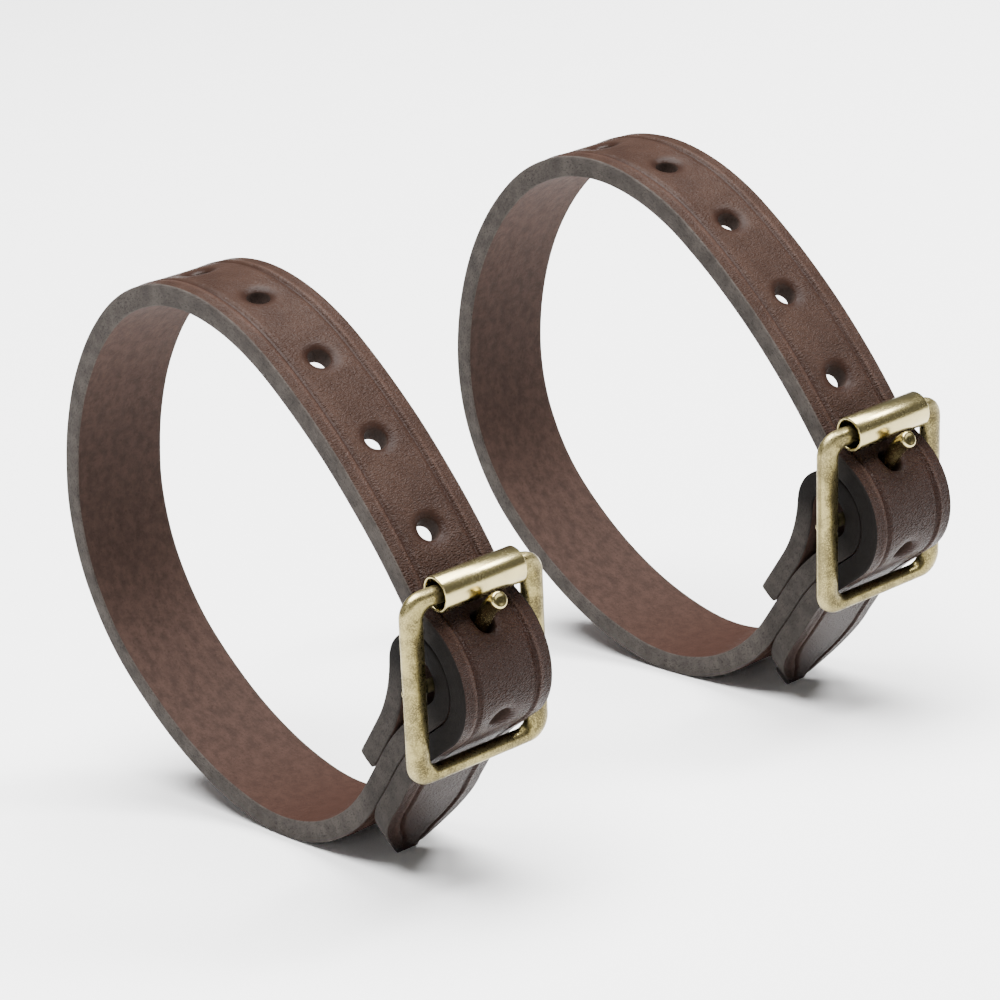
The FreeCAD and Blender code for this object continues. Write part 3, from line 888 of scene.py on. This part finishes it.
class Shader:
    """A material's node tree, with short calls for the nodes used here."""

    def __init__(self, name):
        self.material = bpy.data.materials.new(name)
        self.material.use_nodes = True
        self.tree = self.material.node_tree
        self.surface = self.tree.nodes["Principled BSDF"]

    def node(self, kind, settings=None, **inputs):
        made = self.tree.nodes.new("ShaderNode" + kind)
        for key, value in (settings or {}).items():
            setattr(made, key, value)
        for key, value in inputs.items():
            self.put(made.inputs[key.replace("_", " ")], value)
        return made

    def put(self, socket, value):
        if isinstance(value, bpy.types.NodeSocket):
            self.tree.links.new(value, socket)
        else:
            socket.default_value = value

    def math(self, operation, first, second=0.0, third=0.0):
        made = self.tree.nodes.new("ShaderNodeMath")
        made.operation = operation
        for socket, value in zip(made.inputs, (first, second, third)):
            self.put(socket, value)
        return made.outputs[0]

    def scaled(self, vector, scale):
        made = self.tree.nodes.new("ShaderNodeVectorMath")
        made.operation = "MULTIPLY"
        self.put(made.inputs[0], vector)
        self.put(made.inputs[1], scale)
        return made.outputs[0]

    def noise(self, vector, scale, detail, roughness, distortion=0.0):
        return self.node("TexNoise", Vector=vector, Scale=scale, Detail=detail, Roughness=roughness,
                         Distortion=distortion).outputs["Fac"]

    def cells(self, vector, scale):
        return self.node("TexVoronoi", Vector=vector, Scale=scale).outputs["Distance"]

    def product(self, first, second):
        return self.math("MULTIPLY", first, second)

    def span(self, value, low, high, to_low=0.0, to_high=1.0):
        """A smooth step from one value to another, as value goes from low to high."""
        made = self.node("MapRange", {"interpolation_type": "SMOOTHSTEP"}, Value=value)
        self.put(made.inputs["From Min"], low)
        self.put(made.inputs["From Max"], high)
        self.put(made.inputs["To Min"], to_low)
        self.put(made.inputs["To Max"], to_high)
        return made.outputs[0]

    def stretch(self, value, begin, full, full_end, end):
        """One between full and full_end, and none outside begin and end."""
        return self.product(self.span(value, begin, full), self.span(value, end, full_end))

    def mix(self, share, first, second):
        """A Mix node's colour sockets go by number, because its other kinds' sockets share their names."""
        made = self.tree.nodes.new("ShaderNodeMix")
        made.data_type = "RGBA"
        self.put(made.inputs[0], share)
        self.put(made.inputs[6], first)
        self.put(made.inputs[7], second)
        return made.outputs[2]

    def bump(self, height, distance, strength, below=None):
        """distance is in metres, as the pieces are."""
        made = self.node("Bump", Height=height, Distance=distance, Strength=strength)
        if below is not None:
            self.put(made.inputs["Normal"], below)
        return made.outputs[0]

    def finish(self, **inputs):
        for key, value in inputs.items():
            self.put(self.surface.inputs[key.replace("_", " ")], value)
        return self.material


def colour(red, green, blue):
    return (red, green, blue, 1.0)


def flat_place(shader):
    """Where a point lies on the strap laid flat: along, across and up, in millimetres."""
    return shader.node("Attribute", {"attribute_name": "flat_place"}).outputs["Vector"]


def make_grain():
    """Dyed grain leather: fine creased grain that runs across the strap, with painted shade in the pressed
    lines and dimples, a painted highlight on the swells beside the lines, and painted shade towards the top
    of the loop, near the buckle and over the bulge.
    """
    shader = Shader("grain_leather")
    place = flat_place(shader)
    wrinkles = shader.noise(shader.scaled(place, (1.0, 0.38, 0.0)), 3.7, 2.0, 0.5, 0.35)
    pebbles = shader.cells(shader.scaled(place, (1.0, 0.6, 0.0)), 4.3)
    folds = shader.noise(shader.scaled(place, (1.0, 0.3, 0.0)), 0.75, 2.0, 0.5, 0.3)
    blotch = shader.noise(shader.scaled(place, (1.0, 1.0, 0.3)), 0.13, 3.0, 0.6)
    parts = shader.node("SeparateXYZ", Vector=place).outputs
    along = parts["X"]
    up = parts["Z"]
    bulge_start = STRAP.bulge_start
    bulge = shader.span(along, bulge_start - 22, bulge_start - 2)
    near = shader.span(along, bulge_start - 75, bulge_start - 15)
    top = shader.stretch(along, bulge_start - 190, bulge_start - 130, bulge_start - 95, bulge_start - 45)

    tint = shader.mix(shader.span(blotch, 0.3, 0.72), GRAIN_DARK, GRAIN_LIGHT)
    tint = shader.mix(shader.span(wrinkles, 0.5, 0.32, 0.0, 0.35), tint, GRAIN_DEEP)
    # Painted shade: a little darker at the top of the loop and near the buckle, and much darker over the
    # bulge.
    for region, shade_share in ((top, 0.1), (near, 0.12), (bulge, 0.6)):
        tint = shader.mix(shader.product(region, shade_share), tint, GRAIN_DEEP)
    # Painted shade: darker where the surface sinks, in the pressed lines and the dimples round the holes.
    tint = shader.mix(shader.span(up, 1.95, 1.6, 0.0, 0.6), tint, GRAIN_DEEP)
    # Painted highlight: lighter on the raised swells beside the pressed lines.
    tint = shader.mix(shader.span(up, 2.05, 2.17, 0.0, 0.45), tint, GRAIN_PAINTED_HIGHLIGHT)

    relief = shader.math("MULTIPLY_ADD", pebbles, 0.45, wrinkles)
    relief = shader.math("MULTIPLY_ADD", folds, 0.5, relief)
    relief = shader.math("SUBTRACT", relief, MEAN_RELIEF)
    for region, deeper in ((top, -0.55), (near, 0.5), (bulge, 1.0)):
        relief = shader.product(relief, shader.math("MULTIPLY_ADD", region, deeper, 1.0))
    relief = shader.product(relief, shader.span(up, 1.8, 1.97, 0.35, 1.0))
    normal = shader.bump(relief, 0.00025, 0.9)
    rough = shader.math("MULTIPLY_ADD", wrinkles, -0.2, 0.5)
    for region, rougher in ((top, -0.08), (near, -0.07)):
        rough = shader.math("MULTIPLY_ADD", region, rougher, rough)
    return shader.finish(Base_Color=tint, Roughness=rough, Normal=normal, Specular_IOR_Level=0.055)


def make_flesh():
    """The smoothed underside, mottled and finely specked, redder round the bottom of the loop, and with
    painted shade that darkens its far side."""
    shader = Shader("flesh_leather")
    place = flat_place(shader)
    fibres = shader.noise(shader.scaled(place, (0.6, 1.0, 0.0)), 3.2, 5.0, 0.7, 0.8)
    mottle = shader.noise(shader.scaled(place, (0.7, 1.0, 0.0)), 0.55, 5.0, 0.68)
    specks = shader.noise(place, 1.9, 4.0, 0.7)
    along = shader.node("SeparateXYZ", Vector=place).outputs["X"]
    heel = STRAP.heel_end
    bottom = shader.stretch(along, heel - 8, heel + 8, heel + 20, heel + 75)
    far_side_shade = shader.stretch(along, heel + 88, heel + 112, heel + 130, heel + 170)
    tint = shader.mix(shader.span(mottle, 0.32, 0.68), FLESH_DARK, FLESH_LIGHT)
    tint = shader.mix(shader.product(bottom, 0.75), tint, FLESH_RED)
    # Painted shade: darker over the far side of the loop's inside.
    tint = shader.mix(shader.product(far_side_shade, 0.35), tint, FLESH_DEEP)
    tint = shader.mix(shader.span(specks, 0.52, 0.72, 0.0, 0.45), tint, FLESH_DEEP)
    tint = shader.mix(shader.span(fibres, 0.5, 0.75, 0.0, 0.25), tint, FLESH_FIBRE)
    normal = shader.bump(fibres, 0.0002, 0.55)
    normal = shader.bump(mottle, 0.0004, 0.4, normal)
    return shader.finish(Base_Color=tint, Roughness=0.75, Normal=normal, Specular_IOR_Level=0.07)


def make_cut_edge():
    """The dyed cut edge: matt dark grey with fibres along the strap, with painted shade that darkens it at
    the buckle's end of the strap and makes it near black beside the buckle.
    """
    shader = Shader("cut_edge_leather")
    place = flat_place(shader)
    fibres = shader.noise(shader.scaled(place, (0.5, 1.0, 1.3)), 3.6, 4.0, 0.7, 0.3)
    patches = shader.noise(place, 0.3, 4.0, 0.6)
    tint = shader.mix(shader.span(patches, 0.3, 0.7), EDGE_DARK, EDGE_LIGHT)
    tint = shader.mix(shader.span(fibres, 0.5, 0.68, 0.0, 0.7), tint, EDGE_DEEP)
    along = shader.node("SeparateXYZ", Vector=place).outputs["X"]
    # Painted shade: the edges darken towards the buckle's end of the strap, and go near black in the fold
    # and the bulge beside the buckle.
    painted_shade_stretches = (
        (-20, STRAP.heel_end, 0.4),
        (STRAP.bulge_start, STRAP.length + 20, 0.4),
        (STRAP.fold_start, STRAP.fold_start + 25, 0.96),
        (STRAP.bulge_start, STRAP.bulge_start + 28, 0.96),
    )
    for start, end, shade_share in painted_shade_stretches:
        inside = shader.stretch(along, start - 6, start + 2, end - 2, end + 6)
        tint = shader.mix(shader.product(inside, shade_share), tint, EDGE_DEEP)
    normal = shader.bump(fibres, 0.00025, 0.55)
    return shader.finish(Base_Color=tint, Roughness=0.8, Normal=normal, Specular_IOR_Level=0.06)


def make_hole_wall():
    """The raw brown leather inside a punched hole."""
    shader = Shader("hole_wall_leather")
    fibres = shader.noise(flat_place(shader), 2.4, 4.0, 0.6)
    tint = shader.mix(fibres, HOLE_DARK, HOLE_LIGHT)
    normal = shader.bump(fibres, 0.0002, 0.5)
    return shader.finish(Base_Color=tint, Roughness=0.8, Normal=normal, Specular_IOR_Level=0.15)


def make_brass(name, speckle, roughness, rubbed=0.0, painted_shade=0.0):
    """Antique brass: pale where it is rubbed, paler on sharp edges from wear and a painted highlight,
    speckled with dark patina, and near black where painted shade is laid on.
    """
    shader = Shader(name)
    place = shader.node("TexCoord").outputs["Object"]
    patches = shader.noise(place, 230.0, 4.0, 0.6)
    dots = shader.noise(place, 3600.0, 3.0, 0.65)
    fine = shader.noise(place, 5200.0, 2.0, 0.5)
    tint = shader.mix(shader.span(patches, 0.3, 0.7), BRASS_OLIVE, BRASS_PALE)
    tint = shader.mix(rubbed, tint, BRASS_WORN_AND_HIGHLIGHT)
    spots = shader.product(shader.span(dots, 0.42, 0.53), shader.span(patches, 0.62, 0.42, 0.3, 1.0))
    spots = shader.product(spots, speckle)
    tint = shader.mix(spots, tint, PATINA)
    pointed = shader.node("NewGeometry").outputs["Pointiness"]
    # Paler on sharp edges: rubbed wear and a painted highlight.
    tint = shader.mix(shader.span(pointed, 0.50, 0.56, 0.0, 0.6), tint, BRASS_WORN_AND_HIGHLIGHT)
    # Painted shade: tinted towards near black, for the centre bar that sits in shade.
    tint = shader.mix(painted_shade, tint, PAINTED_SHADE_DARK)
    rough = shader.math("MULTIPLY_ADD", spots, 0.3, roughness)
    rough = shader.math("MULTIPLY_ADD", fine, 0.1, rough)
    normal = shader.bump(dots, 0.00003, 0.3)
    return shader.finish(Base_Color=tint, Metallic=1.0, Roughness=rough, Normal=normal)


def make_floor_material():
    shader = Shader("pale_floor")
    place = shader.node("TexCoord").outputs["Object"]
    grain = shader.noise(place, 40.0, 2.0, 0.5)
    tint = shader.mix(grain, FLOOR_DARK, FLOOR_LIGHT)
    return shader.finish(Base_Color=tint, Roughness=0.9, Specular_IOR_Level=0.1)


MEAN_RELIEF = 0.92
FLOOR_DARK = colour(0.94, 0.94, 0.94)
FLOOR_LIGHT = colour(0.96, 0.96, 0.96)
GRAIN_DARK = colour(0.0235, 0.0124, 0.0088)
GRAIN_LIGHT = colour(0.0335, 0.0184, 0.0132)
GRAIN_DEEP = colour(0.0125, 0.0056, 0.0040)
# A painted highlight for the swells beside the pressed lines.
GRAIN_PAINTED_HIGHLIGHT = colour(0.0568, 0.0327, 0.0249)
FLESH_DARK = colour(0.0292, 0.0172, 0.0136)
FLESH_LIGHT = colour(0.0482, 0.0279, 0.0219)
FLESH_RED = colour(0.0285, 0.0110, 0.0070)
FLESH_DEEP = colour(0.010, 0.0058, 0.0046)
FLESH_FIBRE = colour(0.0559, 0.0327, 0.0249)
EDGE_DARK = colour(0.0365, 0.0312, 0.0280)
EDGE_LIGHT = colour(0.0580, 0.0500, 0.0445)
EDGE_DEEP = colour(0.005, 0.0042, 0.0038)
HOLE_DARK = colour(0.008, 0.0045, 0.0035)
HOLE_LIGHT = colour(0.036, 0.0205, 0.0145)
BRASS_OLIVE = colour(0.058, 0.043, 0.013)
BRASS_PALE = colour(0.19, 0.156, 0.056)
# Pale brass for rubbed wear, also used as a painted highlight on sharp edges.
BRASS_WORN_AND_HIGHLIGHT = colour(0.66, 0.56, 0.27)
PATINA = colour(0.020, 0.0145, 0.006)
# Near black for painted shade.
PAINTED_SHADE_DARK = colour(0.004, 0.003, 0.0015)

GRAIN = make_grain()
FLESH = make_flesh()
CUT_EDGE = make_cut_edge()
HOLE_WALL = make_hole_wall()
BRASS = make_brass("antique_brass", speckle=1.0, roughness=0.22)
BRIGHT_BRASS = make_brass("rubbed_brass", speckle=0.22, roughness=0.15, rubbed=0.2)
# The centre bar's near black is painted shade, with patina speckles.
DARK_BRASS = make_brass("painted_shade_brass", speckle=0.9, roughness=0.5, painted_shade=0.97)


# ---------------------------------------------------------------- stage, lights and camera

FLOOR_REACH = 12.0
LIGHT_TARGET = (0, 0, 0.05)
WORLD_STRENGTH = 0.2
# The camera's place, in millimetres, and its direction are given in the left grip's own axes.
CAMERA_PLACE = (469.76, -328.31, 322.01)
CAMERA_AZIMUTH = math.radians(51.49)
CAMERA_ELEVATION = math.radians(27.98)
CAMERA_LENS = 131.785
SENSOR = 36.0


def make_floor():
    mesh = bpy.data.meshes.new("floor")
    signs = ((-1, -1), (1, -1), (1, 1), (-1, 1))
    corners = [(x * FLOOR_REACH, y * FLOOR_REACH, 0) for x, y in signs]
    mesh.from_pydata(corners, [], [(0, 1, 2, 3)])
    mesh.materials.append(make_floor_material())
    floor = bpy.data.objects.new("floor", mesh)
    bpy.context.scene.collection.objects.link(floor)


def make_light(name, place, size, power):
    """A round soft light, aimed at the grips."""
    light = bpy.data.lights.new(name, "AREA")
    light.shape = "DISK"
    light.size = size
    light.energy = power
    lamp = bpy.data.objects.new(name, light)
    bpy.context.scene.collection.objects.link(lamp)
    lamp.location = place
    lamp.rotation_euler = (Vector(LIGHT_TARGET) - Vector(place)).to_track_quat("-Z", "Y").to_euler()


def make_lights():
    make_light("ceiling", (0.0, 0.1, 2.3), size=2.4, power=320)
    make_light("key", (0.5, 0.9, 1.3), size=0.4, power=22)
    make_light("fill", (0.9, -1.3, 0.6), size=0.7, power=3)
    world = bpy.data.worlds.new("studio")
    bpy.context.scene.world = world
    world.use_nodes = True
    background = world.node_tree.nodes["Background"]
    background.inputs["Color"].default_value = colour(1.0, 1.0, 1.0)
    background.inputs["Strength"].default_value = WORLD_STRENGTH


def make_camera():
    data = bpy.data.cameras.new("camera")
    data.lens = CAMERA_LENS
    data.sensor_width = SENSOR
    camera = bpy.data.objects.new("camera", data)
    bpy.context.scene.collection.objects.link(camera)
    forward = Vector((-math.sin(CAMERA_AZIMUTH) * math.cos(CAMERA_ELEVATION),
                      math.cos(CAMERA_AZIMUTH) * math.cos(CAMERA_ELEVATION),
                      -math.sin(CAMERA_ELEVATION)))
    right = Vector((math.cos(CAMERA_AZIMUTH), math.sin(CAMERA_AZIMUTH), 0))
    up = right.cross(forward)
    turn = Matrix((right, up, -forward)).transposed().to_4x4()
    turn = Matrix.Rotation(STANCE, 4, "Y") @ turn
    camera.matrix_world = Matrix.Translation(grip_matrix("left") @ Vector(CAMERA_PLACE)) @ turn
    bpy.context.scene.camera = camera


# ---------------------------------------------------------------- the pair

STRAP_SEED = 3.7
FRAME_SEED = 5.1
ROLLER_SEED = 2.3


def main():
    make_camera()
    for number, side in enumerate(("left", "right")):
        strap = build_strap(side, STRAP_SEED * number)
        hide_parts(side + "_strap")
        build_frame(side, FRAME_SEED * number)
        build_centre_bar(side)
        build_roller(side, ROLLER_SEED * number)
        build_tongue(side)
        build_rivet(side)
    make_floor()
    make_lights()


main()
